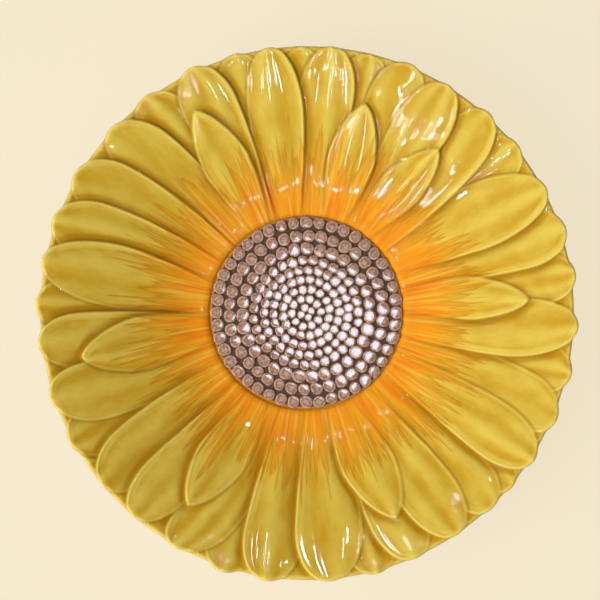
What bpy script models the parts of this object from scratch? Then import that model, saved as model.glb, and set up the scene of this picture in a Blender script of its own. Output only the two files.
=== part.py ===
"""Sunflower-shaped ceramic dish: a shallow earthenware bowl of moulded petals round a beaded disc.

Metres, +Z up. The foot ring rests on z = 0, and the photograph's up is +Y.
"""
import math

import bpy
import numpy as np

MM = 0.001
MERGE_DISTANCE = 0.00005

# Bowl, in millimetres
RIM_RADIUS = 175.0
WEB_RADIUS = 174.0
WEB_BLEND = 0.5
WALL = 5.5
WALL_SLANT = 1.1
BOWL_LOW = 10.7
BOWL_SLOPE = 0.445
BOWL_KNEE_RADIUS = 75.0
BOWL_KNEE = 15.0
RECESS_RADIUS = 65.3
RECESS_FLOOR = 8.6
RECESS_LIP = 11.4
FLOOR_UNDERSIDE = 3.6
FOOT_INNER = 75.0
FOOT_OUTER = 82.0
FOOT_ROUND = 1.0
FOOT_FLARE = 2.0
FOOT_TAPER = 1.0
FOOT_TOP = 9.4
COLUMNS = 216

# Circles of points up the wall and down its back
WALL_RADII = (66.5, 74, 85, 98, 111, 124, 136, 147, 157, 165, 171)
BACK_RADII = (164, 146, 122, 98)

# Section of the lip: steps inward from the rim, and down from its top
LIP_SECTION = ((0.9, 0.5), (0.0, 2.4), (1.6, 5.2))

# Petals, in millimetres
PETAL_ROOT_RADIUS = 65.5
SHORT_REACH = 160.0
PETAL_TIP_POWER = 2.1
SHORT_TIP_POWER = 1.6
PETAL_TAPER_POWER = 1.5
PETAL_ROOT_SHARE = 0.38
PETAL_EDGE = 4.0
PETAL_ROLL = 1.5
PETAL_ROLL_IN = 3.4
PETAL_ROLL_WIDTH = 3.0
PETAL_TILT = 0.9
PETAL_ARCH = 1.3
WEB_HEIGHT = -0.6
ROOT_RELIEF = 0.15
RELIEF_START = 59.5
RELIEF_FULL = 107.5
BACK_SHARE = 0.55
BACK_RELIEF_FULL = 120.0
SCALLOP_START = 110.0

# Each petal: direction of its tip and of its root in degrees, reach, width, length of its tip, lift.
# A later petal lies over an earlier one.
PETALS = (
    # the row behind, which shows only between its neighbours' tips
    (8.5, 8, 177, 36, 26, -0.8),
    (39, 39, 176, 35, 22, -0.8),
    (76.5, 77, 173.5, 34, 22, -0.8),
    (91.5, 92, 173.5, 26, 18, -0.8),
    (106, 107, 175.5, 32, 20, -0.8),
    (127, 125, 176.5, 40, 24, -0.8),
    (178, 179.5, 177, 36, 22, -0.8),
    (208.5, 209, 176.5, 36, 20, -0.8),
    (251.5, 255, 177.5, 36, 22, -0.8),
    (285, 287, 176, 34, 20, -0.8),
    (319.7, 320, 175.5, 28, 18, -0.8),
    (347, 348, 177, 36, 24, -0.8),
    # the row in the middle
    (67.8, 68, 176, 36, 24, -0.4),
    (240.5, 256, 175.5, 38, 22, -0.4),
    (313.5, 317, 175.5, 34, 20, -0.4),
    (337, 344, 177, 36, 22, -0.4),
    # the row in front
    (357.3, 354, 177, 39, 38, 0.3),
    (18.5, 20, 177.5, 39, 26, -0.2),
    (28, 31.5, 176, 44, 44, 0.5),
    (48, 43.5, 176.5, 34, 26, -0.1),
    (58.5, 58.5, 175, 37, 30, 0.4),
    (84.7, 86, 174.5, 37, 30, 0),
    (98.5, 99.5, 175, 37, 38, 0.3),
    (115.5, 114.5, 177, 37, 26, 0),
    (136.8, 130, 176, 38, 26, 0),
    (149, 144, 177, 39, 24, 0),
    (159.7, 155.5, 177, 38, 26, 0.1),
    (168.7, 169.5, 176.5, 42, 46, 0.5),
    (186.5, 187, 176.5, 36, 26, 0),
    (198.3, 205, 176.5, 40, 28, 0.4),
    (219.8, 216, 174.5, 38, 26, 0),
    (229.4, 232, 174.5, 37, 30, 0.2),
    (261.2, 262, 176.5, 40, 26, 0.2),
    (274.8, 278, 175.5, 45, 30, 0.3),
    (294, 292, 175, 37, 26, 0),
    (304.3, 303, 174.5, 39, 32, 0.4),
    (327.2, 330, 176.5, 38, 30, 0.3),
    # the short petals on top
    (3.7, 7, 146, 29, 36, 0.9),
    (51.3, 55, 138, 29, 34, 0.9),
    (74.5, 73, 142.5, 32, 36, 0.9),
    (119, 117.5, 151, 32, 38, 0.9),
    (191, 189.5, 150.5, 36, 38, 0.9),
    (238.2, 241, 148, 34, 36, 0.9),
    (293.5, 290, 146.5, 36, 36, 0.9),
)

# Seed disc, in millimetres
DISC_RADIUS = 65.0
DISC_UNDERSIDE = 8.9
DISC_TOP = 11.2
DISC_CROWN = 0.7
DISC_COLUMNS = 88
BEAD_ROOT = 1.0
BEAD_HEIGHT = 1.9
BEAD_ROUND = 0.35
BEAD_TOP_SHARE = 0.74

# Each ring of beads: radius, number of beads, bead diameter, sides, turn in degrees.
BEAD_RINGS = (
    (60.4, 44, 7.9, 7, 0),
    (51.6, 38, 7.8, 7, 3),
    (42.9, 31, 8.2, 7, 8),
    (35.1, 31, 6.6, 6, 1),
    (28.5, 27, 6.2, 6, 7),
    (22.1, 22, 6.0, 6, 2),
    (15.7, 16, 5.8, 6, 9),
    (9.6, 10, 5.6, 6, 4),
    (3.7, 4, 5.0, 6, 20),
)

GLAZE_YELLOW = (0.72, 0.46, 0.055, 1.0)
GLAZE_BROWN = (0.30, 0.17, 0.10, 1.0)
YELLOW_ROUGHNESS = 0.18
BROWN_ROUGHNESS = 0.2


def clear_scene():
    for thing in list(bpy.data.objects):
        bpy.data.objects.remove(thing)


def make_collection(name):
    collection = bpy.data.collections.new(name)
    bpy.context.scene.collection.children.link(collection)
    return collection


def move_to(thing, collection):
    for holder in list(thing.users_collection):
        holder.objects.unlink(thing)
    collection.objects.link(thing)


def make_material(name, colour, roughness):
    material = bpy.data.materials.new(name)
    material.use_nodes = True
    shader = material.node_tree.nodes["Principled BSDF"]
    shader.inputs["Base Color"].default_value = colour
    shader.inputs["Roughness"].default_value = roughness
    shader.inputs["Metallic"].default_value = 0.0
    material.diffuse_color = colour
    return material


def smoothstep(low, high, value):
    t = np.clip((value - low) / (high - low), 0.0, 1.0)
    return t * t * (3 - 2 * t)


def bowl_height(radius):
    """The bowl's upper surface: nearly flat at the disc, then a steady slope to the rim."""
    past_knee = radius - BOWL_KNEE_RADIUS
    return BOWL_LOW + BOWL_SLOPE / 2 * (past_knee + np.hypot(past_knee, BOWL_KNEE))


def width_share(back, length, tip_length, reach):
    """A petal's width as a share of its greatest, at a distance back from its tip."""
    power = SHORT_TIP_POWER if reach < SHORT_REACH else PETAL_TIP_POWER
    v = np.clip(back / tip_length, 0.0, 1.0)
    tip_share = (1 - (1 - v) ** power) ** (1 / power)
    taper = np.clip((back - tip_length) / (length - tip_length), 0.0, 1.0)
    return tip_share * (1 - (1 - PETAL_ROOT_SHARE) * taper**PETAL_TAPER_POWER)


def petal_relief(radius, angle):
    """Height of the petals over the plain bowl, each petal laid over those before it."""
    height = np.full_like(radius, WEB_HEIGHT)
    for tip, root, reach, width, tip_length, lift in PETALS:
        length = reach - PETAL_ROOT_RADIUS
        back = reach - radius
        centre = tip + (root - tip) * back / length
        turn = (np.degrees(angle) - centre + 180) % 360 - 180
        across = np.radians(turn) * radius
        half = width / 2 * width_share(back, length, tip_length, reach)
        half_before = width / 2 * width_share(back - 1, length, tip_length, reach)
        inside = (half - np.abs(across)) / np.hypot(1, half - half_before)
        inside = np.where(back < 0, -np.hypot(back, across), inside)
        share = across / np.maximum(half, 1.0)
        own = lift - PETAL_TILT * np.clip(share, -1, 1) + PETAL_ARCH * np.clip(1 - share**2, 0, 1)
        own = own + PETAL_ROLL * np.exp(-(((inside - PETAL_ROLL_IN) / PETAL_ROLL_WIDTH) ** 2))
        cover = smoothstep(-PETAL_EDGE / 2, PETAL_EDGE / 2, inside)
        height = height + (own - height) * cover
    fade = ROOT_RELIEF + (1 - ROOT_RELIEF) * smoothstep(RELIEF_START, RELIEF_FULL, radius)
    return height * fade


def rim_radius(angle):
    """The scalloped outline: the petals' blunt tips, joined by a web between them."""
    outline = np.full_like(angle, WEB_RADIUS)
    for tip, _, reach, width, tip_length, _ in PETALS:
        if reach < SHORT_REACH:
            continue
        turn = (np.degrees(angle) - tip + 180) % 360 - 180
        share = np.clip(np.abs(np.radians(turn) * reach) / (width / 2), 0.0, 1.0)
        tip_radius = reach - tip_length * (1 - (1 - share**PETAL_TIP_POWER) ** (1 / PETAL_TIP_POWER))
        outline = np.logaddexp(outline / WEB_BLEND, tip_radius / WEB_BLEND) * WEB_BLEND
    return outline


def bowl_profile():
    """The bowl's section from the middle of its recess, out to the rim, and back under its foot."""
    rim_top = bowl_height(RIM_RADIUS)
    return (
        [(0.0, RECESS_FLOOR), (RECESS_RADIUS, RECESS_FLOOR), (RECESS_RADIUS, RECESS_LIP)]
        + [(radius, bowl_height(radius)) for radius in WALL_RADII]
        + [(RIM_RADIUS - inward, rim_top - down) for inward, down in LIP_SECTION]
        + [(radius, bowl_height(radius) - WALL * WALL_SLANT) for radius in BACK_RADII]
        + [(FOOT_OUTER + FOOT_FLARE, FOOT_TOP), (FOOT_OUTER, FOOT_ROUND), (FOOT_OUTER - FOOT_ROUND, 0.0)]
        + [(FOOT_INNER, 0.0), (FOOT_INNER - FOOT_TAPER, FLOOR_UNDERSIDE), (0.0, FLOOR_UNDERSIDE)]
    )


def turned_object(name, profile, columns):
    """Turn a profile, in millimetres, about the Z axis."""
    mesh = bpy.data.meshes.new(name)
    points = [(r * MM, 0.0, z * MM) for r, z in profile]
    mesh.from_pydata(points, [(i, i + 1) for i in range(len(points) - 1)], [])
    turned = bpy.data.objects.new(name, mesh)
    bpy.context.scene.collection.objects.link(turned)
    screw = turned.modifiers.new("turn", "SCREW")
    screw.steps = columns
    screw.render_steps = columns
    screw.use_merge_vertices = True
    screw.merge_threshold = MERGE_DISTANCE
    screw.use_smooth_shade = True
    return turned


def applied(thing):
    """Swap an object's mesh for its evaluated one, with no modifiers left."""
    evaluated = thing.evaluated_get(bpy.context.evaluated_depsgraph_get())
    mesh = bpy.data.meshes.new_from_object(evaluated)
    thing.modifiers.clear()
    thing.data = mesh
    return thing


def raise_petals(dish):
    """Press the turned bowl into petals: scallop its outline, then raise the relief."""
    count = len(dish.data.vertices)
    places = np.empty(count * 3)
    dish.data.vertices.foreach_get("co", places)
    places = places.reshape(count, 3) / MM
    radius = np.hypot(places[:, 0], places[:, 1])
    angle = np.arctan2(places[:, 1], places[:, 0])
    outward = smoothstep(SCALLOP_START, RIM_RADIUS, radius)
    scalloped = radius * (1 + (rim_radius(angle) / RIM_RADIUS - 1) * outward)
    plain = bowl_height(radius)
    top = places[:, 2] > plain - WALL / 4
    height = places[:, 2] + bowl_height(scalloped) - plain
    above = petal_relief(scalloped, angle)
    share = np.where(top, 1.0, BACK_SHARE * smoothstep(FOOT_OUTER, BACK_RELIEF_FULL, radius))
    share = np.where(radius < WALL_RADII[0], 0.0, share)
    places[:, 0] = scalloped * np.cos(angle)
    places[:, 1] = scalloped * np.sin(angle)
    places[:, 2] = np.where(radius > FOOT_OUTER, height, places[:, 2]) + above * share
    dish.data.vertices.foreach_set("co", (places * MM).ravel())
    dish.data.update()


def make_petal_dish(collection):
    dish = applied(turned_object("petal_dish", bowl_profile(), COLUMNS))
    raise_petals(dish)
    dish.data.materials.append(make_material("yellow_glaze", GLAZE_YELLOW, YELLOW_ROUGHNESS))
    move_to(dish, collection)


def bead_lift(ring_radius):
    """The beads' tops make a low crown over the flat disc."""
    return DISC_CROWN * (1 - (ring_radius / DISC_RADIUS) ** 2)


def bead_profile(diameter):
    radius = diameter / 2
    top = DISC_TOP + BEAD_HEIGHT
    shoulder = (radius * BEAD_TOP_SHARE, top - BEAD_ROUND)
    return [(0.0, top), shoulder, (radius, DISC_TOP - BEAD_ROOT), (0.0, DISC_TOP - BEAD_ROOT)]


def add_bead_ring(number, ring, beads):
    """One ring of beads: the bead is turned once and copied round the disc."""
    ring_radius, count, diameter, sides, first = ring
    bead = applied(turned_object(f"bead_{number}", bead_profile(diameter), sides))
    move_to(bead, beads)
    for index in range(count):
        angle = math.radians(first + 360 * index / count)
        place = (ring_radius * math.cos(angle), ring_radius * math.sin(angle), bead_lift(ring_radius))
        copy = bead.copy()
        copy.location = [value * MM for value in place]
        copy.rotation_euler.z = angle
        beads.objects.link(copy)
    bpy.data.objects.remove(bead)


def make_seed_disc(collection):
    depth = DISC_TOP - DISC_UNDERSIDE
    bpy.ops.mesh.primitive_cylinder_add(
        vertices=DISC_COLUMNS,
        radius=DISC_RADIUS * MM,
        depth=depth * MM,
        location=(0, 0, (DISC_UNDERSIDE + depth / 2) * MM),
    )
    disc = bpy.context.object
    disc.name = "seed_disc"
    beads = make_collection("beads")
    for number, ring in enumerate(BEAD_RINGS):
        add_bead_ring(number, ring, beads)
    union = disc.modifiers.new("beads", "BOOLEAN")
    union.operation = "UNION"
    union.operand_type = "COLLECTION"
    union.collection = beads
    disc = applied(disc)
    for bead in list(beads.objects):
        bpy.data.objects.remove(bead)
    bpy.data.collections.remove(beads)
    disc.data.materials.clear()
    disc.data.materials.append(make_material("brown_glaze", GLAZE_BROWN, BROWN_ROUGHNESS))
    move_to(disc, collection)


def main():
    clear_scene()
    collection = make_collection("sunflower_dish")
    make_petal_dish(collection)
    make_seed_disc(collection)


main()
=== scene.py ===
"""The looks of the sunflower-shaped ceramic dish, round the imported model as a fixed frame."""

import math
import random

import bpy
import numpy as np
from mathutils import Matrix, Vector


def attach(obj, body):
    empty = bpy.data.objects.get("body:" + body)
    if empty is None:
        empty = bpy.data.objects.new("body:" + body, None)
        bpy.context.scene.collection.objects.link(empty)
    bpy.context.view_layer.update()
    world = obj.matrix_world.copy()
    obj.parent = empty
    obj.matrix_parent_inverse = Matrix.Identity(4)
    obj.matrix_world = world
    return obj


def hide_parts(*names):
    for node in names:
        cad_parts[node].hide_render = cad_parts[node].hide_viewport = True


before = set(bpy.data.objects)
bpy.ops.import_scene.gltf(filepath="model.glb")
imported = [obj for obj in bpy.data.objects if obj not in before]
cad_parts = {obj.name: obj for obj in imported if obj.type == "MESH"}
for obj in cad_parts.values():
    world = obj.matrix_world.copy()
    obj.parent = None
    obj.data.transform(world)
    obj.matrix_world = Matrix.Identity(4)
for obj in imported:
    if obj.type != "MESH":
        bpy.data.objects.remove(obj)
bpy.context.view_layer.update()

MM = 0.001

# Camera, in millimetres and pixels of the photograph
IMAGE_PIXELS = 600
MM_PER_PIXEL = 0.6495
CAMERA_DISTANCE = 1250.0
CAMERA_OFFSET = (-29.0, 20.0)
PICTURE_CENTRE = (-5.2, 8.8)
SENSOR_WIDTH = 36.0
CLIP_START = 0.05

# Bowl, in millimetres, as the solids have it
RIM_RADIUS = 175.0
WEB_RADIUS = 174.0
WEB_BLEND = 0.5
WALL = 5.5
WALL_SLANT = 1.1
BOWL_LOW = 10.7
BOWL_SLOPE = 0.445
BOWL_KNEE_RADIUS = 75.0
BOWL_KNEE = 15.0
RECESS_RADIUS = 65.3
RECESS_FLOOR = 8.6
RECESS_LIP = 11.4
FLOOR_UNDERSIDE = 3.6
FOOT_INNER = 75.0
FOOT_OUTER = 82.0
FOOT_TOP = 9.4
COLUMNS = 1100
BACK_COLUMNS = 720
SKIN = 3.4

# Circles of points up the petalled wall: from one radius to the next, and how many
WALL_ROWS = (
    (67.0, 92.0, 8),
    (92.0, 126.0, 20),
    (126.0, 158.0, 29),
    (158.0, 171.5, 16),
)
LIP_ROUND = 2.4

# Petals, in millimetres
PETAL_ROOT_RADIUS = 65.5
SHORT_REACH = 160.0
PETAL_TIP_POWER = 2.1
SHORT_TIP_POWER = 1.6
PETAL_TAPER_POWER = 1.5
PETAL_ROOT_SHARE = 0.38
PETAL_EDGE = 2.2
SHORT_EDGE = 3.0
PETAL_RIDGE = 0.6
PETAL_RIDGE_IN = 0.95
PETAL_RIDGE_WIDTH = 0.7
PETAL_TILT = 0.6
PETAL_ARCH = 0.6
PETAL_GROOVE = 0.2
PETAL_FOLD = 0.34
PETAL_DIP = 0.65
PETAL_DIP_WIDTH = 5.5
CREASE_WIDTH = 0.75
RIM_RIDGE = 0.45
WEB_HEIGHT = -1.0
RIM_WEB_HEIGHT = -0.2
ROOT_RELIEF = 0.12
WEB_FALL = (2.0, 15.0)
EDGE_SLANT_LIMIT = 0.6
TIP_BLEND = 9.0
LEAST_HALF_WIDTH = 9.0
OVERLAP_TURN = (0.35, -0.6)
TUCKED_OVERLAP = 0.3
TUCKED_RIDGE = 0.4
RIM_DIP = 0.3
ARCH_POWER = 1.2
FOLD_TURNS = 5.6
FOLD_TURNS_SPREAD = 1.8
FOLD_SHIFT = 2.1
FOLD_TWIST = 60.0
PETAL_GROOVE_PLACE = -0.55
PETAL_GROOVE_WIDTH = 0.3
CREASE_PLACE = 0.3
CREASE_COVERED = 0.6
LIP_RIDGE_IN = 1.45
RELIEF_START = 59.5
RELIEF_FULL = 104.0
BACK_SHARE = 0.55
BACK_RELIEF_FULL = 120.0
SCALLOP_START = 110.0
HOLLOW_REACH = 5.0

# Each petal: direction of its tip and of its root in degrees, reach, width, length of its tip, lift.
# A later petal lies over an earlier one.
PETALS = (
    # the row behind, which shows only between its neighbours' tips
    (8.5, 8, 177, 36, 26, -0.8),
    (39, 39, 176, 35, 22, -0.8),
    (76.5, 77, 173.5, 34, 22, -0.8),
    (91.5, 92, 173.5, 26, 18, -0.8),
    (106, 107, 175.5, 32, 20, -0.8),
    (127, 125, 176.5, 40, 24, -0.8),
    (178, 179.5, 177, 36, 22, -0.8),
    (208.5, 209, 176.5, 36, 20, -0.8),
    (251.5, 255, 177.5, 36, 22, -0.8),
    (285, 287, 176, 34, 20, -0.8),
    (319.7, 320, 175.5, 28, 18, -0.8),
    (347, 348, 177, 36, 24, -0.8),
    # the row in the middle
    (67.8, 68, 176, 36, 24, -0.4),
    (240.5, 256, 175.5, 38, 22, -0.4),
    (313.5, 317, 175.5, 34, 20, -0.4),
    (337, 344, 177, 36, 22, -0.4),
    # the row in front
    (357.3, 354, 177, 39, 38, 0.3),
    (18.5, 20, 177.5, 39, 26, -0.2),
    (28, 31.5, 176, 44, 44, 0.5),
    (48, 43.5, 176.5, 34, 26, -0.1),
    (58.5, 58.5, 175, 37, 30, 0.4),
    (84.7, 86, 174.5, 37, 30, 0),
    (98.5, 99.5, 175, 37, 38, 0.3),
    (115.5, 114.5, 177, 37, 26, 0),
    (136.8, 130, 176, 38, 26, 0),
    (149, 144, 177, 39, 24, 0),
    (159.7, 155.5, 177, 38, 26, 0.1),
    (168.7, 169.5, 176.5, 42, 46, 0.5),
    (186.5, 187, 176.5, 36, 26, 0),
    (198.3, 205, 176.5, 40, 28, 0.4),
    (219.8, 216, 174.5, 38, 26, 0),
    (229.4, 232, 174.5, 37, 30, 0.2),
    (261.2, 262, 176.5, 40, 26, 0.2),
    (274.8, 278, 175.5, 45, 30, 0.3),
    (294, 292, 175, 37, 26, 0),
    (304.3, 303, 174.5, 39, 32, 0.4),
    (327.2, 330, 176.5, 38, 30, 0.3),
    # the short petals on top
    (3.7, 7, 146, 29, 36, 0.9),
    (51.3, 55, 138, 29, 34, 0.9),
    (74.5, 73, 142.5, 32, 36, 0.9),
    (119, 117.5, 151, 32, 38, 0.9),
    (191, 189.5, 150.5, 36, 38, 0.9),
    (238.2, 241, 148, 34, 36, 0.9),
    (293.5, 290, 146.5, 36, 36, 0.9),
)

# Glazes, as the eye sees them, from 0 to 255
THIN_GLAZE = (239, 212, 90)
POOLED_GLAZE = (212, 163, 22)
RIDGE_GLAZE = (252, 226, 122)
# The crease colour below is glaze pooled in creases with painted shade, and painted shade on the turned-down
# lip.
CREASE_AND_SHADE_COLOUR = (140, 100, 10)
STREAK_TIP = (186, 124, 8)
WASH_ORANGE = (254, 184, 36)
STROKE_ORANGE = (254, 158, 16)
DEEP_ORANGE = (248, 128, 8)
AMBER_STROKE = (236, 152, 16)
THREAD_YELLOW = (255, 214, 84)
BARE_CLAY = (222, 205, 178)
GROOVE_GLAZE = (92, 68, 54)
DISC_EDGE_GLAZE = (196, 128, 44)
BEAD_EDGE = (204, 168, 150)
BEAD_RING = (168, 132, 114)
BEAD_TOP = (200, 163, 148)
BEAD_SHADE = (122, 90, 74)

# Noise of the brushwork and the glaze: strokes to the radian across, and to the metre along
HAIRS = (44.0, 20.0)
THREADS = (34.0, 14.0)
STROKES = (20.0, 18.0)
CLUMPS = (7.0, 12.0)
MOTTLE = (11.0, 45.0, 3.0)

# Orange brushwork, in metres from the middle
ORANGE_REACH = 0.052
STROKE_SPREAD = 0.05
CLUMP_SPREAD = 0.045
HAIR_SPREAD = 0.09
HAIR_SHIFT = -0.038
AMBER_START = 0.078
AMBER_FULL = 0.108

# Glaze thickness and finish
MOTTLE_THICKNESS = 1.7
FOLD_THICKNESS = -0.2
THICKNESS_RANGE = (0.0, 1.75)
# The pool tint below darkens pooled glaze and paints shade beside overlying petals.
POOL_AND_SHADE_TINT = (0.62, 0.53, 0.2, 1.0)
BODY_ROUGHNESS = 0.5
CLAY_ROUGHER = 0.3
GLAZE_SPECULAR = 0.2
GLAZE_COAT = 0.8
GLAZE_COAT_ROUGHNESS = 0.03
RIPPLE_SCALE = 120.0
RIPPLE_STRENGTH = 0.12
CLAY_HEIGHTS = (0.0009, 0.0004)
DISC_EDGE_RANGE = (0.0628, 0.0642)
CLOUD_SCALE = 260.0
CLOUD_SHARE = 0.36
GRAIN_SCALE = 620.0
GRAIN_SHARE = 0.75
GROOVE_ROUGHNESS = 0.72
BEAD_SMOOTHER = -0.69

# Seed disc, in millimetres
DISC_RADIUS = 65.0
DISC_UNDERSIDE = 8.9
DISC_TOP = 11.2
DISC_CROWN = 0.7
GROOVE_CROWN = 0.28
DISC_COLUMNS = 180
BEAD_ROOT = 1.0
BEAD_HEIGHT = 1.7
BEAD_SEGMENTS = 12
GROOVE_LEVEL = -0.5
BEAD_SPREAD = 0.22
BEAD_STEP_SPREAD = 0.132
BEAD_SIZE_SPREAD = 0.045
BEAD_ROWS = (0.0, 0.66, 0.74, 0.84, 0.94, 1.0)
BEAD_TOP_SHARE = 0.72
BEAD_ROUND = 1.1
BEAD_DOME = 0.03
BEAD_TILT = 0.0035
BEAD_OVAL = 0.05
BEAD_LOBES = 0.035
BEAD_CORNERS = 0.018

# Each ring of beads: radius, number of beads, bead diameter, turn in degrees.
BEAD_RINGS = (
    (60.4, 44, 8.9, 0),
    (51.6, 38, 8.8, 3),
    (42.9, 31, 9.3, 8),
    (35.1, 31, 7.6, 1),
    (28.5, 27, 7.2, 7),
    (22.1, 22, 7.0, 2),
    (15.7, 16, 6.8, 9),
    (9.6, 10, 6.5, 4),
    (3.7, 4, 6.0, 20),
)

# Lamps: places and sizes in metres, power in watts. The ceiling and key lamps light the glaze without showing
# in it, the overhead lamp shows in the beads alone, and windows and narrow twin lamps show in all the glaze.
CEILING_LAMP = {"size": (2.6, 2.6), "power": 21, "colour": (1.0, 0.97, 0.92)}
KEY_LAMP = {"size": (1.5, 1.5), "power": 39.5, "colour": (1.0, 0.96, 0.9)}
OVERHEAD_LAMP = {"size": (0.14, 0.19), "power": 1.6, "colour": (0.74, 0.8, 1.0)}
WINDOW_LAMP = {"size": (0.5, 0.45), "power": 0.55, "colour": (0.95, 1.0, 0.55)}
GLINT_LAMP = {"size": (0.011, 0.045), "power": 0.2, "colour": (1.0, 0.97, 0.95)}
CEILING = (-0.4, -0.4, 2.5)
KEY = (-1.6, -0.54, 1.45)
OVERHEAD = (0.054, -0.031, 1.4)
WINDOWS = (
    (-1.22, 0.86, 1.32),
    (-1.4, -0.5, 1.32),
)
GLINTS = (
    (-1.32, -0.22, 1.5),
    (-1.3, -0.42, 1.5),
    (-0.04, -1.12, 1.5),
    (0.06, -1.1, 1.5),
    (-0.24, -1.1, 1.5),
    (-0.3, -1.15, 1.5),
    (-0.5, -1.02, 1.5),
    (-0.58, -1.02, 1.5),
    (-0.78, -0.88, 1.5),
    (-0.86, -0.84, 1.5),
    (0.26, -1.1, 1.5),
    (0.34, -1.06, 1.5),
    (0.54, -1.0, 1.5),
    (0.6, -0.94, 1.5),
    (0.1, 1.05, 1.5),
    (0.01, 1.01, 1.5),
    (0.34, 1.0, 1.5),
    (0.45, 0.92, 1.5),
    (-0.25, 1.01, 1.5),
    (-0.35, 0.93, 1.5),
    (-0.75, -1.55, 0.8),
    (-0.9, -1.45, 0.8),
    (1.5, 0.6, 0.9),
    (1.42, 0.75, 0.9),
    (-0.42, -0.1, 1.6),
    (-0.42, -0.24, 1.6),
    (0.3, -0.45, 1.6),
    (0.42, -0.38, 1.6),
)
ROOM_COLOUR = (1.0, 0.95, 0.85, 1.0)
ROOM_STRENGTH = 0.06

# Floor
FLOOR_SIZE = 6.0
FLOOR_PAINT = (100, 95, 85)
FLOOR_GLOW = (245, 233, 207)
FLOOR_GLOW_STRENGTH = 0.86
FLOOR_ROUGHNESS = 0.9


def smoothstep(low, high, value):
    t = np.clip((value - low) / (high - low), 0.0, 1.0)
    return t * t * (3 - 2 * t)


def bump(value, middle, width):
    return np.exp(-(((value - middle) / width) ** 2))


def bowl_height(radius):
    """The bowl's upper surface: nearly flat at the disc, then a steady slope to the rim."""
    past_knee = radius - BOWL_KNEE_RADIUS
    return BOWL_LOW + BOWL_SLOPE / 2 * (past_knee + np.hypot(past_knee, BOWL_KNEE))


def width_share(back, length, tip_length, reach):
    """A petal's width as a share of its greatest, at a distance back from its tip."""
    power = SHORT_TIP_POWER if reach < SHORT_REACH else PETAL_TIP_POWER
    v = np.clip(back / tip_length, 0.0, 1.0)
    tip_share = (1 - (1 - v) ** power) ** (1 / power)
    taper = np.clip((back - tip_length) / (length - tip_length), 0.0, 1.0)
    return tip_share * (1 - (1 - PETAL_ROOT_SHARE) * taper**PETAL_TAPER_POWER)


def petal_relief(radius, angle, rim):
    """Height of the petals over the plain bowl, and how strong ridge, crease, pool and fold are there; the
    crease and pool masks darken the glaze as pooled glaze and painted shade along creases and beside
    overlying petals.
    """
    below_rim = smoothstep(*WEB_FALL, rim - radius)
    height = RIM_WEB_HEIGHT + (WEB_HEIGHT - RIM_WEB_HEIGHT) * below_rim
    ridge = np.zeros_like(radius)
    crease = np.zeros_like(radius)
    pooled_glaze_and_shade = np.zeros_like(radius)
    fold = np.zeros_like(radius)
    for tip, root, reach, width, tip_length, lift in PETALS:
        length = reach - PETAL_ROOT_RADIUS
        back = reach - radius
        centre = tip + (root - tip) * back / length
        turn = (np.degrees(angle) - centre + 180) % 360 - 180
        across = np.radians(turn) * radius
        half = width / 2 * width_share(back, length, tip_length, reach)
        half_before = width / 2 * width_share(back - 1, length, tip_length, reach)
        steep = half - half_before
        slant = np.clip(steep, -EDGE_SLANT_LIMIT, EDGE_SLANT_LIMIT) * smoothstep(0, TIP_BLEND, back)
        slope = np.where(np.abs(across) < half, steep, slant)
        inside = (half - np.abs(across)) / np.hypot(1, slope)
        inside = np.where(back < 0, -np.hypot(back, across), inside)
        inside = np.where(np.abs(across) < width, inside, -2 * width)
        share = np.clip(across / np.maximum(half, 1.0), -1.0, 1.0)
        overlapping = smoothstep(*OVERLAP_TURN, across / np.maximum(half, LEAST_HALF_WIDTH))
        overlapping = TUCKED_OVERLAP + (1 - TUCKED_OVERLAP) * overlapping
        edge = SHORT_EDGE if reach < SHORT_REACH else PETAL_EDGE
        cover = smoothstep(-edge / 2, edge / 2, inside)

        arch = (1 - share**2) ** ARCH_POWER
        turns = FOLD_TURNS + FOLD_TURNS_SPREAD * math.sin(tip)
        folds = np.sin(share * turns + tip * FOLD_SHIFT + back / FOLD_TWIST) * arch
        own = lift - PETAL_TILT * share + PETAL_ARCH * arch + PETAL_FOLD * folds
        own = own - PETAL_GROOVE * bump(share, PETAL_GROOVE_PLACE, PETAL_GROOVE_WIDTH)
        own_ridge = bump(inside, PETAL_RIDGE_IN, PETAL_RIDGE_WIDTH)
        own_ridge = own_ridge * (TUCKED_RIDGE + (1 - TUCKED_RIDGE) * overlapping)
        beside = bump(np.maximum(-inside, 0), 0, PETAL_DIP_WIDTH) * overlapping * (1 - cover)
        beside = beside * (RIM_DIP + (1 - RIM_DIP) * below_rim)
        height = height - PETAL_DIP * beside
        height = height + (own + PETAL_RIDGE * own_ridge - height) * cover
        ridge = ridge + (own_ridge - ridge) * cover
        # Beside an overlying petal the glaze is darkened as pooled glaze and painted shade.
        pooled_glaze_and_shade = np.maximum(pooled_glaze_and_shade * (1 - cover), beside)
        # A thin dark line just outside each petal's edge: glaze pooled in the crease and painted shade.
        line = bump(inside, -edge * CREASE_PLACE, CREASE_WIDTH) * (1 - CREASE_COVERED * overlapping)
        crease = np.maximum(crease * (1 - cover), line)
        fold = fold + (folds - fold) * cover
    lip = bump(rim - radius, LIP_RIDGE_IN, PETAL_RIDGE_WIDTH)
    height = height + RIM_RIDGE * lip
    ridge = np.maximum(ridge, lip)
    fade = ROOT_RELIEF + (1 - ROOT_RELIEF) * smoothstep(RELIEF_START, RELIEF_FULL, radius)
    return height * fade, ridge * fade, crease * fade, pooled_glaze_and_shade * fade, fold * fade


def hollow(radius, angle, rim, height):
    """How far a point lies below its surroundings: glaze runs off ridges and pools in hollows."""
    around = np.zeros_like(radius)
    for step in range(6):
        turn = math.pi * step / 3
        x = radius * np.cos(angle) + HOLLOW_REACH * math.cos(turn)
        y = radius * np.sin(angle) + HOLLOW_REACH * math.sin(turn)
        around += petal_relief(np.hypot(x, y), np.arctan2(y, x), rim)[0]
    return around / 6 - height


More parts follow.
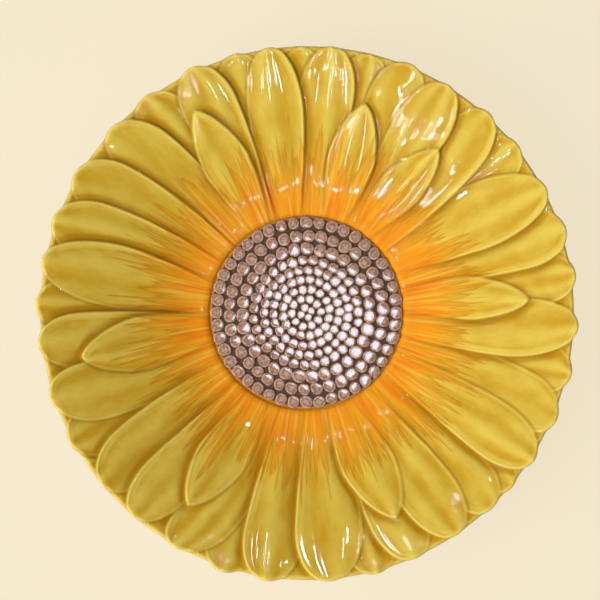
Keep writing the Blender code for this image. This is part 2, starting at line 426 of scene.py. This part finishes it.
def rim_radius(angle):
    """The scalloped outline: the petals' blunt tips, joined by a web between them."""
    outline = np.full_like(angle, WEB_RADIUS)
    for tip, _, reach, width, tip_length, _ in PETALS:
        if reach < SHORT_REACH:
            continue
        turn = (np.degrees(angle) - tip + 180) % 360 - 180
        share = np.clip(np.abs(np.radians(turn) * reach) / (width / 2), 0.0, 1.0)
        tip_radius = reach - tip_length * (1 - (1 - share**PETAL_TIP_POWER) ** (1 / PETAL_TIP_POWER))
        outline = np.logaddexp(outline / WEB_BLEND, tip_radius / WEB_BLEND) * WEB_BLEND
    return outline


def deselect_all():
    for thing in bpy.context.selected_objects:
        thing.select_set(False)


def turned_piece(name, profile, columns):
    """A closed piece turned from a profile, in millimetres, about the Z axis."""
    deselect_all()
    mesh = bpy.data.meshes.new(name)
    points = [(radius * MM, 0.0, height * MM) for radius, height in profile]
    mesh.from_pydata(points, [(i, i + 1) for i in range(len(points) - 1)], [])
    piece = bpy.data.objects.new(name, mesh)
    bpy.context.scene.collection.objects.link(piece)
    bpy.context.view_layer.objects.active = piece
    piece.select_set(True)
    screw = piece.modifiers.new("turn", "SCREW")
    screw.steps = columns
    screw.render_steps = columns
    screw.use_merge_vertices = True
    screw.merge_threshold = 0.00002
    screw.use_smooth_shade = True
    bpy.ops.object.modifier_apply(modifier=screw.name)
    return piece


def wall_profile():
    """Section of the petalled skin: up the wall, round the lip, and back a little below the surface."""
    wall = []
    for start, end, rows in WALL_ROWS:
        wall += [start + (end - start) * row / rows for row in range(rows)]
    wall.append(WALL_ROWS[-1][1])
    lip_middle = float(bowl_height(RIM_RADIUS - LIP_ROUND)) - LIP_ROUND
    lip = [math.radians(degrees) for degrees in (80, 55, 30, 5, -25, -60, -90)]
    under = (RIM_RADIUS - LIP_ROUND - 3, 120, 85, 70)
    points = [(RECESS_RADIUS + 0.1, RECESS_LIP - SKIN / 2), (RECESS_RADIUS + 0.4, RECESS_LIP - 0.2)]
    points += [(radius, float(bowl_height(radius))) for radius in wall]
    for turn in lip:
        radius = RIM_RADIUS + LIP_ROUND * (math.cos(turn) - 1)
        points.append((radius, lip_middle + LIP_ROUND * math.sin(turn)))
    points += [(radius, float(bowl_height(radius)) - SKIN) for radius in under]
    return points + points[:1]


def back_profile():
    """Section of the bowl's body below the skin: its floor, its back and its foot ring."""
    inner = (68, 76, 90, 120, 150, RIM_RADIUS - LIP_ROUND * 1.2)
    edge = RIM_RADIUS - LIP_ROUND * 1.1
    outer = [edge - 8.5 * step for step in range(1, 11)]
    points = [(0.0, RECESS_FLOOR), (RECESS_RADIUS, RECESS_FLOOR), (RECESS_RADIUS, RECESS_LIP - 0.6)]
    points += [(radius, float(bowl_height(radius)) - SKIN * 0.9) for radius in inner]
    points.append((edge, float(bowl_height(edge)) - LIP_ROUND * 2))
    points.append((edge - 3, float(bowl_height(edge - 3)) - WALL))
    points += [(radius, float(bowl_height(radius)) - WALL * WALL_SLANT) for radius in outer]
    points += [(FOOT_OUTER + 1.6, FOOT_TOP - 0.4), (FOOT_OUTER + 0.4, FOOT_TOP - 2.2), (FOOT_OUTER, 1.2)]
    points += [(FOOT_OUTER - 0.4, 0.3), (FOOT_OUTER - 1.2, 0.0), (FOOT_INNER + 1.0, 0.0)]
    points += [(FOOT_INNER + 0.2, 0.4), (FOOT_INNER - 0.6, 2.8), (FOOT_INNER - 2.0, FLOOR_UNDERSIDE)]
    return points + [(0.0, FLOOR_UNDERSIDE)]


def read_places(mesh):
    places = np.empty(len(mesh.vertices) * 3)
    mesh.vertices.foreach_get("co", places)
    return places.reshape(-1, 3) / MM


def write_places(mesh, places):
    mesh.vertices.foreach_set("co", (places * MM).ravel())
    mesh.update()


def write_attribute(mesh, name, values):
    attribute = mesh.attributes.new(name, "FLOAT", "POINT")
    attribute.data.foreach_set("value", values.astype(np.float32))


def press_petals(piece, upper):
    """A plain turned piece is pressed into petals: its outline scalloped, its surface raised."""
    places = read_places(piece.data)
    radius = np.hypot(places[:, 0], places[:, 1])
    angle = np.arctan2(places[:, 1], places[:, 0])
    outward = smoothstep(SCALLOP_START, RIM_RADIUS, radius)
    rim = rim_radius(angle)
    scalloped = radius * (1 + (rim / RIM_RADIUS - 1) * outward)
    plain = bowl_height(radius)
    height, ridge, crease, pooled_glaze_and_shade, fold = petal_relief(scalloped, angle, rim)
    on_back = BACK_SHARE * smoothstep(FOOT_OUTER, BACK_RELIEF_FULL, radius)
    on_back = on_back + (1 - on_back) * smoothstep(156, RIM_RADIUS - LIP_ROUND * 2, radius)
    inner = (radius < RIM_RADIUS - LIP_ROUND * 1.05) & (np.abs(places[:, 2] - plain + SKIN) < SKIN / 3)
    share = np.where(inner | (radius < RECESS_RADIUS + 0.05), 0.0, 1.0 if upper else on_back)
    raised = places[:, 2] + np.where(radius > FOOT_OUTER + 1, bowl_height(scalloped) - plain, 0.0)
    places[:, 0] = scalloped * np.cos(angle)
    places[:, 1] = scalloped * np.sin(angle)
    places[:, 2] = raised + height * share
    write_places(piece.data, places)
    top = upper & (places[:, 2] > raised - LIP_ROUND * 1.5)
    write_attribute(piece.data, "ridge", np.where(top, ridge, 0.0))
    write_attribute(piece.data, "crease", np.where(top, crease, 0.0))
    write_attribute(piece.data, "pooled_glaze_and_shade", np.where(top, pooled_glaze_and_shade, 0.0))
    write_attribute(piece.data, "fold", np.where(top, fold, 0.0))
    write_attribute(piece.data, "painted", np.full(len(radius), float(upper)))
    write_attribute(piece.data, "edge", np.where(upper, rim - scalloped, 20.0))
    write_attribute(piece.data, "hollow", hollow(scalloped, angle, rim, height) if upper else height * 0)
    return piece


def bead_profile():
    """A low bead of radius 1 with a flat top and a round shoulder, rooted in the disc."""
    profile = []
    for share in BEAD_ROWS:
        turned = max(0.0, (share - BEAD_TOP_SHARE) / (1 - BEAD_TOP_SHARE))
        drop = BEAD_ROUND * (1 - math.sqrt(1 - turned**2)) + BEAD_DOME * share**2
        profile.append((share, DISC_TOP + BEAD_HEIGHT - drop))
    return profile + [(1.0, DISC_TOP - BEAD_ROOT), (0.0, DISC_TOP - BEAD_ROOT)]


def copy_bead(bead, unit, ring_radius, angle, size, chance):
    """One more bead: a little out of round, and leaning a little, as pressed by hand."""
    copy = bead.copy()
    copy.data = bead.data.copy()
    bpy.context.scene.collection.objects.link(copy)
    turn = np.arctan2(unit[:, 1], unit[:, 0])
    lobes = BEAD_LOBES * np.cos(3 * turn + chance.uniform(0, 6))
    lobes += BEAD_OVAL * np.cos(2 * turn + chance.uniform(0, 6))
    lobes -= BEAD_CORNERS * np.cos(4 * (turn - angle))
    places = unit.copy()
    places[:, :2] *= (size / 2 * (1 + lobes))[:, None]
    tilt = np.array([chance.gauss(0, BEAD_TILT), chance.gauss(0, BEAD_TILT)])
    places[:, 2] += places[:, :2] @ tilt
    lift = DISC_CROWN * (1 - (ring_radius / DISC_RADIUS) ** 2)
    places += (ring_radius * math.cos(angle), ring_radius * math.sin(angle), lift)
    write_places(copy.data, places)
    return copy


def make_seed_field():
    """The brown disc with every bead of its rings copied from one bead."""
    profile = []
    for radius in range(0, 64, 9):
        profile.append((radius, DISC_TOP + GROOVE_CROWN * (1 - (radius / DISC_RADIUS) ** 2)))
    profile += [(DISC_RADIUS - 0.5, DISC_TOP - 0.1), (DISC_RADIUS, DISC_TOP - 0.6)]
    profile += [(DISC_RADIUS, DISC_UNDERSIDE), (0.0, DISC_UNDERSIDE)]
    disc = turned_piece("seed_field", profile, DISC_COLUMNS)
    write_attribute(disc.data, "bead", np.full(len(disc.data.vertices), GROOVE_LEVEL))
    bead = turned_piece("bead", bead_profile(), BEAD_SEGMENTS)
    unit = read_places(bead.data)
    reach = np.hypot(unit[:, 0], unit[:, 1])
    rooted = unit[:, 2] < DISC_TOP - BEAD_ROOT / 2
    write_attribute(bead.data, "bead", np.where(rooted, GROOVE_LEVEL, 1 - reach))
    chance = random.Random(7)
    beads = []
    for ring_radius, count, diameter, first in BEAD_RINGS:
        for index in range(count):
            angle = math.radians(first + 360 * index / count)
            angle += chance.gauss(0, BEAD_STEP_SPREAD) / ring_radius
            near = ring_radius + chance.gauss(0, BEAD_SPREAD)
            size = diameter * (1 + chance.gauss(0, BEAD_SIZE_SPREAD))
            beads.append(copy_bead(bead, unit, near, angle, size, chance))
    bpy.data.objects.remove(bead)
    deselect_all()
    for bead in beads:
        bead.select_set(True)
    disc.select_set(True)
    bpy.context.view_layer.objects.active = disc
    bpy.ops.object.join()
    return disc


def seen(red, green, blue):
    """A colour as the eye sees it, from 0 to 255, as the linear values that a shader takes."""
    parts = [part / 255 for part in (red, green, blue)]
    linear = [part / 12.92 if part <= 0.04045 else ((part + 0.055) / 1.055) ** 2.4 for part in parts]
    return (*linear, 1.0)


def new_material(name):
    material = bpy.data.materials.new(name)
    material.use_nodes = True
    return material, material.node_tree, material.node_tree.nodes["Principled BSDF"]


def node(tree, kind, inputs, **settings):
    """A new shader node. An input is a value, or another node's output that is linked to it."""
    made = tree.nodes.new(kind)
    for name, value in settings.items():
        setattr(made, name, value)
    for name, value in inputs.items():
        if isinstance(value, bpy.types.NodeSocket):
            tree.links.new(value, made.inputs[name])
        else:
            made.inputs[name].default_value = value
    return made


def calculate(tree, operation, first, second=0.0, third=0.0, clamp=False):
    values = {0: first, 1: second, 2: third}
    return node(tree, "ShaderNodeMath", values, operation=operation, use_clamp=clamp).outputs[0]


def between(tree, value, low, high):
    """0 below low and 1 above high, or the other way round, with a smooth step between."""
    settings = {"interpolation_type": "SMOOTHSTEP"}
    inputs = {"Value": value, "From Min": low, "From Max": high}
    return node(tree, "ShaderNodeMapRange", inputs, **settings).outputs["Result"]


def blend(tree, share, under, over, kind="MIX"):
    made = node(tree, "ShaderNodeMix", {}, data_type="RGBA", blend_type=kind)
    for number, value in ((0, share), (6, under), (7, over)):
        if isinstance(value, bpy.types.NodeSocket):
            tree.links.new(value, made.inputs[number])
        else:
            made.inputs[number].default_value = value
    return made.outputs[2]


def attribute(tree, name):
    return node(tree, "ShaderNodeAttribute", {}, attribute_name=name).outputs["Fac"]


def brush_noise(tree, direction, distance, strokes, stretch, detail=2.0):
    """Noise drawn out along the petals: strokes to the radian across, stretch to the metre along."""
    inputs = {0: direction, "Scale": strokes}
    across = node(tree, "ShaderNodeVectorMath", inputs, operation="SCALE").outputs[0]
    along = calculate(tree, "MULTIPLY", distance, stretch)
    lift = node(tree, "ShaderNodeCombineXYZ", {"Z": along}).outputs[0]
    place = node(tree, "ShaderNodeVectorMath", {0: across, 1: lift}, operation="ADD").outputs[0]
    inputs = {"Vector": place, "Scale": 1.0, "Detail": detail, "Roughness": 0.6}
    return node(tree, "ShaderNodeTexNoise", inputs).outputs["Fac"]


def yellow_glaze():
    """Clear amber glaze: pale where it thins on ridges, deep where it pools, orange round the disc. Creases,
    the dips beside overlying petals and the turned-down lip are darkened with painted shade as well.
    """
    material, tree, shader = new_material("yellow glaze")
    place = node(tree, "ShaderNodeTexCoord", {}).outputs["Object"]
    flat = node(tree, "ShaderNodeVectorMath", {0: place, 1: (1, 1, 0)}, operation="MULTIPLY").outputs[0]
    distance = node(tree, "ShaderNodeVectorMath", {0: flat}, operation="LENGTH").outputs["Value"]
    direction = node(tree, "ShaderNodeVectorMath", {0: flat}, operation="NORMALIZE").outputs[0]
    height = node(tree, "ShaderNodeSeparateXYZ", {"Vector": place}).outputs["Z"]
    hairs = brush_noise(tree, direction, distance, *HAIRS)
    threads = brush_noise(tree, direction, distance, *THREADS)
    strokes = brush_noise(tree, direction, distance, *STROKES)
    clumps = brush_noise(tree, direction, distance, *CLUMPS)
    mottle = brush_noise(tree, direction, distance, *MOTTLE)

    thickness = calculate(tree, "MULTIPLY_ADD", mottle, MOTTLE_THICKNESS, attribute(tree, "hollow"))
    thickness = calculate(tree, "MULTIPLY_ADD", attribute(tree, "fold"), FOLD_THICKNESS, thickness)
    thick = between(tree, thickness, *THICKNESS_RANGE)
    colour = blend(tree, thick, seen(*THIN_GLAZE), seen(*POOLED_GLAZE))
    ridge = calculate(tree, "MULTIPLY", attribute(tree, "ridge"), 0.65)
    colour = blend(tree, ridge, colour, seen(*RIDGE_GLAZE))

    reach = calculate(tree, "MULTIPLY_ADD", strokes, STROKE_SPREAD, ORANGE_REACH)
    reach = calculate(tree, "MULTIPLY_ADD", clumps, CLUMP_SPREAD, reach)
    reach = calculate(tree, "MULTIPLY", reach, attribute(tree, "painted"))
    left = calculate(tree, "SUBTRACT", reach, distance)
    wash = calculate(tree, "MULTIPLY", between(tree, left, -0.024, 0.018), 0.85)
    colour = blend(tree, wash, colour, seen(*WASH_ORANGE))
    hair_left = calculate(tree, "MULTIPLY_ADD", hairs, HAIR_SPREAD, calculate(tree, "ADD", left, HAIR_SHIFT))
    inside_tip = between(tree, hair_left, -0.003, 0.003)
    tips = calculate(tree, "MULTIPLY", inside_tip, between(tree, hair_left, 0.018, 0.005))
    colour = blend(tree, calculate(tree, "MULTIPLY", tips, 0.5), colour, seen(*STREAK_TIP))
    orange = blend(tree, between(tree, strokes, 0.46, 0.66), seen(*STROKE_ORANGE), seen(*DEEP_ORANGE))
    orange = blend(tree, between(tree, distance, AMBER_START, AMBER_FULL), orange, seen(*AMBER_STROKE))
    painted = calculate(tree, "MULTIPLY", between(tree, hair_left, 0.0, 0.03), 0.85)
    colour = blend(tree, painted, colour, orange)
    pale = between(tree, threads, 0.5, 0.68)
    thread = calculate(tree, "MULTIPLY", pale, between(tree, left, -0.01, 0.01))
    colour = blend(tree, calculate(tree, "MULTIPLY", thread, 0.55), colour, seen(*THREAD_YELLOW))

    # Pooled glaze and painted shade beside overlying petals, multiplied in.
    pool_and_shade_share = calculate(tree, "MULTIPLY", attribute(tree, "pooled_glaze_and_shade"), 0.8)
    colour = blend(tree, pool_and_shade_share, colour, POOL_AND_SHADE_TINT, "MULTIPLY")
    # Crease lines: pooled glaze and painted shade.
    crease = calculate(tree, "MULTIPLY", attribute(tree, "crease"), 0.7)
    colour = blend(tree, crease, colour, seen(*CREASE_AND_SHADE_COLOUR))
    # Painted shade on the lip where it turns down at the outline.
    outside = calculate(tree, "MULTIPLY", between(tree, attribute(tree, "edge"), 0.7, -0.1), 0.7)
    colour = blend(tree, outside, colour, seen(*CREASE_AND_SHADE_COLOUR))

    clay = between(tree, height, *CLAY_HEIGHTS)
    colour = blend(tree, clay, colour, seen(*BARE_CLAY))
    tree.links.new(colour, shader.inputs["Base Color"])
    roughness = calculate(tree, "MULTIPLY_ADD", clay, CLAY_ROUGHER, BODY_ROUGHNESS)
    tree.links.new(roughness, shader.inputs["Roughness"])
    inputs = {"Vector": place, "Scale": RIPPLE_SCALE, "Detail": 2.0}
    ripple = node(tree, "ShaderNodeTexNoise", inputs).outputs["Fac"]
    inputs = {"Height": ripple, "Strength": RIPPLE_STRENGTH, "Distance": 0.002}
    tree.links.new(node(tree, "ShaderNodeBump", inputs).outputs["Normal"], shader.inputs["Normal"])
    shader.inputs["Specular IOR Level"].default_value = GLAZE_SPECULAR
    shader.inputs["Coat Weight"].default_value = GLAZE_COAT
    shader.inputs["Coat Roughness"].default_value = GLAZE_COAT_ROUGHNESS
    return material


def brown_glaze():
    """Thin brown glaze: nearly bare on the beads' tops, dark where it has run into the grooves."""
    material, tree, shader = new_material("brown glaze")
    place = node(tree, "ShaderNodeTexCoord", {}).outputs["Object"]
    bead = attribute(tree, "bead")
    inputs = {"Vector": place, "Scale": CLOUD_SCALE, "Detail": 3.0}
    cloud = node(tree, "ShaderNodeTexNoise", inputs).outputs["Fac"]
    level = calculate(tree, "ADD", bead, -CLOUD_SHARE / 2)
    level = calculate(tree, "MULTIPLY_ADD", cloud, CLOUD_SHARE, level)
    colour = blend(tree, between(tree, level, 0.18, 0.34), seen(*BEAD_EDGE), seen(*BEAD_RING))
    colour = blend(tree, between(tree, level, 0.45, 0.75), colour, seen(*BEAD_TOP))
    inputs = {"Vector": place, "Scale": GRAIN_SCALE, "Detail": 3.0}
    grain = node(tree, "ShaderNodeTexNoise", inputs).outputs["Fac"]
    shade = calculate(tree, "MULTIPLY", between(tree, grain, 0.46, 0.62), GRAIN_SHARE)
    colour = blend(tree, shade, colour, seen(*BEAD_SHADE))
    on_bead = between(tree, bead, -0.02, 0.1)
    flat = node(tree, "ShaderNodeVectorMath", {0: place, 1: (1, 1, 0)}, operation="MULTIPLY").outputs[0]
    distance = node(tree, "ShaderNodeVectorMath", {0: flat}, operation="LENGTH").outputs["Value"]
    rim = between(tree, distance, *DISC_EDGE_RANGE)
    groove = blend(tree, rim, seen(*GROOVE_GLAZE), seen(*DISC_EDGE_GLAZE))
    colour = blend(tree, on_bead, groove, colour)
    tree.links.new(colour, shader.inputs["Base Color"])
    roughness = calculate(tree, "MULTIPLY_ADD", on_bead, BEAD_SMOOTHER, GROOVE_ROUGHNESS)
    tree.links.new(roughness, shader.inputs["Roughness"])
    return material


def dress(piece, cad_node, material):
    piece.data.materials.clear()
    piece.data.materials.append(material)
    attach(piece, "root")
    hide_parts(cad_node)


def add_floor():
    deselect_all()
    bpy.ops.mesh.primitive_plane_add(size=FLOOR_SIZE, location=(0, 0, 0))
    floor = bpy.context.object
    floor.name = "floor"
    material, tree, shader = new_material("pale floor")
    shader.inputs["Base Color"].default_value = seen(*FLOOR_PAINT)
    shader.inputs["Roughness"].default_value = FLOOR_ROUGHNESS
    shader.inputs["Emission Color"].default_value = seen(*FLOOR_GLOW)
    shader.inputs["Emission Strength"].default_value = FLOOR_GLOW_STRENGTH
    floor.data.materials.append(material)


def add_softbox(name, place, mirrored, size, power, colour):
    """A lamp aimed at the dish. One that isn't mirrored lights the glaze without showing in it."""
    light = bpy.data.lights.new(name, "AREA")
    light.shape = "RECTANGLE"
    light.size, light.size_y = size
    light.energy = power
    light.color = colour
    box = bpy.data.objects.new(name, light)
    box.location = place
    box.rotation_euler = (-box.location).to_track_quat("-Z", "Y").to_euler()
    box.visible_glossy = mirrored
    bpy.context.scene.collection.objects.link(box)
    return box


def add_lights(beads):
    world = bpy.data.worlds.new("room")
    world.use_nodes = True
    world.node_tree.nodes["Background"].inputs["Color"].default_value = ROOM_COLOUR
    world.node_tree.nodes["Background"].inputs["Strength"].default_value = ROOM_STRENGTH
    bpy.context.scene.world = world
    add_softbox("ceiling", CEILING, mirrored=False, **CEILING_LAMP)
    add_softbox("key", KEY, mirrored=False, **KEY_LAMP)
    overhead = add_softbox("overhead glint", OVERHEAD, mirrored=True, **OVERHEAD_LAMP)
    overhead.light_linking.receiver_collection = bpy.data.collections.new("mirrors the overhead lamp")
    overhead.light_linking.receiver_collection.objects.link(beads)
    for number, place in enumerate(WINDOWS):
        add_softbox(f"window {number}", place, mirrored=True, **WINDOW_LAMP)
    for number, place in enumerate(GLINTS):
        add_softbox(f"glint {number}", place, mirrored=True, **GLINT_LAMP)


def add_camera():
    camera = bpy.data.cameras.new("camera")
    camera.sensor_width = SENSOR_WIDTH
    camera.lens = SENSOR_WIDTH * CAMERA_DISTANCE / (IMAGE_PIXELS * MM_PER_PIXEL)
    camera.clip_start = CLIP_START
    rim_height = float(bowl_height(RIM_RADIUS))
    eye = bpy.data.objects.new("camera", camera)
    eye.location = Vector((CAMERA_OFFSET[0], CAMERA_OFFSET[1], rim_height + CAMERA_DISTANCE)) * MM
    back = (eye.location - Vector((PICTURE_CENTRE[0], PICTURE_CENTRE[1], rim_height)) * MM).normalized()
    right = Vector((0, 1, 0)).cross(back).normalized()
    eye.rotation_euler = Matrix((right, back.cross(right), back)).transposed().to_euler()
    bpy.context.scene.collection.objects.link(eye)
    bpy.context.scene.camera = eye


def main():
    bpy.context.scene.view_settings.view_transform = "Standard"
    yellow = yellow_glaze()
    wall = press_petals(turned_piece("petal_wall", wall_profile(), COLUMNS), True)
    dress(wall, "petal_dish", yellow)
    back = press_petals(turned_piece("bowl_back", back_profile(), BACK_COLUMNS), False)
    dress(back, "petal_dish", yellow)
    beads = make_seed_field()
    dress(beads, "seed_disc", brown_glaze())
    add_floor()
    add_lights(beads)
    add_camera()


main()
